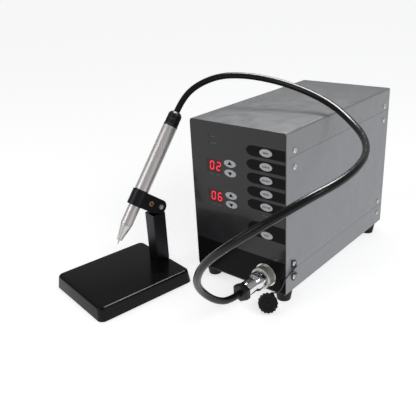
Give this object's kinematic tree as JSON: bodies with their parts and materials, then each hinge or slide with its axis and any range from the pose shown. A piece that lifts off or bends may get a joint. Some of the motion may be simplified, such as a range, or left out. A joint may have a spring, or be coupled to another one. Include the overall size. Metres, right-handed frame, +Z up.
{
  "type": "spot welder",
  "caption": "Bench pulse-arc spot welder: sheet-metal power cabinet with key panel and displays, stand with tilting clamp, and a pen-like handpiece joined by a cable.",
  "frame": {"origin": "middle of the footprint of cabinet and stand together, on the bench surface", "axes": "+Z up, +Y from the front panel to the rear panel, +X to the right of someone who faces the front panel"},
  "size_m": [0.4698, 0.536, 0.3213],
  "materials": {
    "painted_steel": "fine-textured blue-grey powder coat",
    "painted_top": "fine-textured blue-grey powder coat",
    "panel_gloss": "gloss black film over a metal plate",
    "key_grey": "satin silver-grey key with a printed mark",
    "display": "smoked red window with lit red digits",
    "lamp": "clear lens",
    "zinc_steel": "bright zinc-plated screw",
    "bare_steel": "bare sheet steel",
    "rubber_black": "moulded black rubber",
    "chrome": "bright nickel-chrome",
    "satin_nickel": "satin nickel, fine knurl",
    "black_plastic": "moulded black plastic",
    "cable_rubber": "smooth black cable jacket",
    "black_enamel": "gloss black enamel",
    "black_anodised": "black anodised aluminium",
    "satin_aluminium": "satin turned aluminium",
    "nozzle_aluminium": "pale bead-blasted aluminium",
    "brass": "turned brass",
    "tungsten": "ground tungsten",
    "core_steel": "varnished lamination stack",
    "copper_winding": "enamelled copper winding in tape",
    "circuit_board": "green circuit board",
    "capacitor": "sleeved electrolytic capacitor",
    "cord": "thin braided black cord"
  },
  "bodies": {
    "root": {"top_cover": "painted_top", "side_panel_left": "painted_steel", "side_panel_right": "painted_steel", "base_tray": "painted_steel", "inner_frames": "bare_steel", "cover_screws": "zinc_steel", "rubber_feet": "rubber_black", "foot_screws": "zinc_steel", "front_overlay": "panel_gloss", "front_plate": "bare_steel", "display_modules": "display", "indicator_lamps": "lamp", "display_board": "circuit_board", "panel_socket": "chrome", "socket_nut": "zinc_steel", "plug_shell": "chrome", "plug_gland_nut": "black_plastic", "stand_base": "black_enamel", "base_pads": "rubber_black", "stand_post": "black_anodised", "post_screws": "zinc_steel", "pivot_screw": "zinc_steel", "transformer_core": "core_steel", "transformer_coil": "copper_winding", "main_board": "circuit_board", "storage_capacitors": "capacitor", "gas_valve": "brass", "rear_panel": "painted_steel", "fan_frame": "black_plastic", "mains_inlet": "black_plastic", "power_switch_housing": "black_plastic", "gas_inlet_fitting": "brass", "foot_switch_socket": "chrome", "dust_cap": "rubber_black", "handpiece_cable": "cable_rubber", "cap_lanyard": "cord", "lanyard_knot": "cord"},
    "holder": {"clamp_head": "black_anodised", "handpiece_front_tube": "satin_aluminium", "handpiece_barrel": "satin_aluminium", "handpiece_rear_sleeve": "satin_aluminium", "collet": "brass", "handpiece_gland_body": "black_plastic", "handpiece_gland_nut": "black_plastic"},
    "clamp_screw": {"clamp_screw": "brass"},
    "nozzle": {"nozzle": "nozzle_aluminium"},
    "electrode": {"electrode": "tungsten"},
    "coupling_ring": {"coupling_ring": "satin_nickel"},
    "fan_rotor": {"fan_rotor": "black_plastic"},
    "power_rocker": {"power_rocker": "black_plastic"},
    "key_upper_raise": {"key_upper_raise": "key_grey"},
    "key_upper_lower": {"key_upper_lower": "key_grey"},
    "key_lower_raise": {"key_lower_raise": "key_grey"},
    "key_lower_lower": {"key_lower_lower": "key_grey"},
    "key_function_1": {"key_function_1": "key_grey"},
    "key_function_2": {"key_function_2": "key_grey"},
    "key_function_3": {"key_function_3": "key_grey"},
    "key_function_4": {"key_function_4": "key_grey"},
    "key_function_5": {"key_function_5": "key_grey"},
    "key_function_6": {"key_function_6": "key_grey"}
  },
  "joints": [
    {"name": "holder_tilt", "type": "hinge", "parent": "root", "child": "holder", "pos_m": [-0.07028, -0.10043, 0.121], "axis": [0.9857, -0.1685, 0], "range_deg": [-15, 26], "deforming": ["handpiece_cable"]},
    {"name": "clamp_screw_turn", "type": "hinge", "parent": "holder", "child": "clamp_screw", "pos_m": [-0.07318, -0.1174, 0.13166], "axis": [0.9857, -0.1685, 0], "range_deg": [0, 180]},
    {"name": "nozzle_pull", "type": "slide", "parent": "holder", "child": "nozzle", "axis": [-0.099, -0.5794, -0.809], "range_m": [0, 0.012]},
    {"name": "electrode_slide", "type": "slide", "parent": "holder", "child": "electrode", "axis": [-0.099, -0.5794, -0.809], "range_m": [-0.003, 0.004]},
    {"name": "coupling_ring_spin", "type": "hinge", "parent": "root", "child": "coupling_ring", "pos_m": [0.13336, -0.08471, 0.046], "axis": [0, -1, 0], "continuous": true},
    {"name": "fan_spin", "type": "hinge", "parent": "root", "child": "fan_rotor", "pos_m": [0.05186, 0.22929, 0.19], "axis": [0, 1, 0], "continuous": true},
    {"name": "power_rocker_tip", "type": "hinge", "parent": "root", "child": "power_rocker", "pos_m": [0.08186, 0.24229, 0.066], "axis": [-1, 0, 0], "range_deg": [0, 16]},
    {"name": "key_upper_raise_press", "type": "slide", "parent": "root", "child": "key_upper_raise", "axis": [0, 1, 0], "range_m": [0, 0.0005], "stiffness_N_per_m": 800},
    {"name": "key_upper_lower_press", "type": "slide", "parent": "root", "child": "key_upper_lower", "axis": [0, 1, 0], "range_m": [0, 0.0005], "stiffness_N_per_m": 800},
    {"name": "key_lower_raise_press", "type": "slide", "parent": "root", "child": "key_lower_raise", "axis": [0, 1, 0], "range_m": [0, 0.0005], "stiffness_N_per_m": 800},
    {"name": "key_lower_lower_press", "type": "slide", "parent": "root", "child": "key_lower_lower", "axis": [0, 1, 0], "range_m": [0, 0.0005], "stiffness_N_per_m": 800},
    {"name": "key_function_1_press", "type": "slide", "parent": "root", "child": "key_function_1", "axis": [0, 1, 0], "range_m": [0, 0.0005], "stiffness_N_per_m": 800},
    {"name": "key_function_2_press", "type": "slide", "parent": "root", "child": "key_function_2", "axis": [0, 1, 0], "range_m": [0, 0.0005], "stiffness_N_per_m": 800},
    {"name": "key_function_3_press", "type": "slide", "parent": "root", "child": "key_function_3", "axis": [0, 1, 0], "range_m": [0, 0.0005], "stiffness_N_per_m": 800},
    {"name": "key_function_4_press", "type": "slide", "parent": "root", "child": "key_function_4", "axis": [0, 1, 0], "range_m": [0, 0.0005], "stiffness_N_per_m": 800},
    {"name": "key_function_5_press", "type": "slide", "parent": "root", "child": "key_function_5", "axis": [0, 1, 0], "range_m": [0, 0.0005], "stiffness_N_per_m": 800},
    {"name": "key_function_6_press", "type": "slide", "parent": "root", "child": "key_function_6", "axis": [0, 1, 0], "range_m": [0, 0.0005], "stiffness_N_per_m": 800}
  ]
}
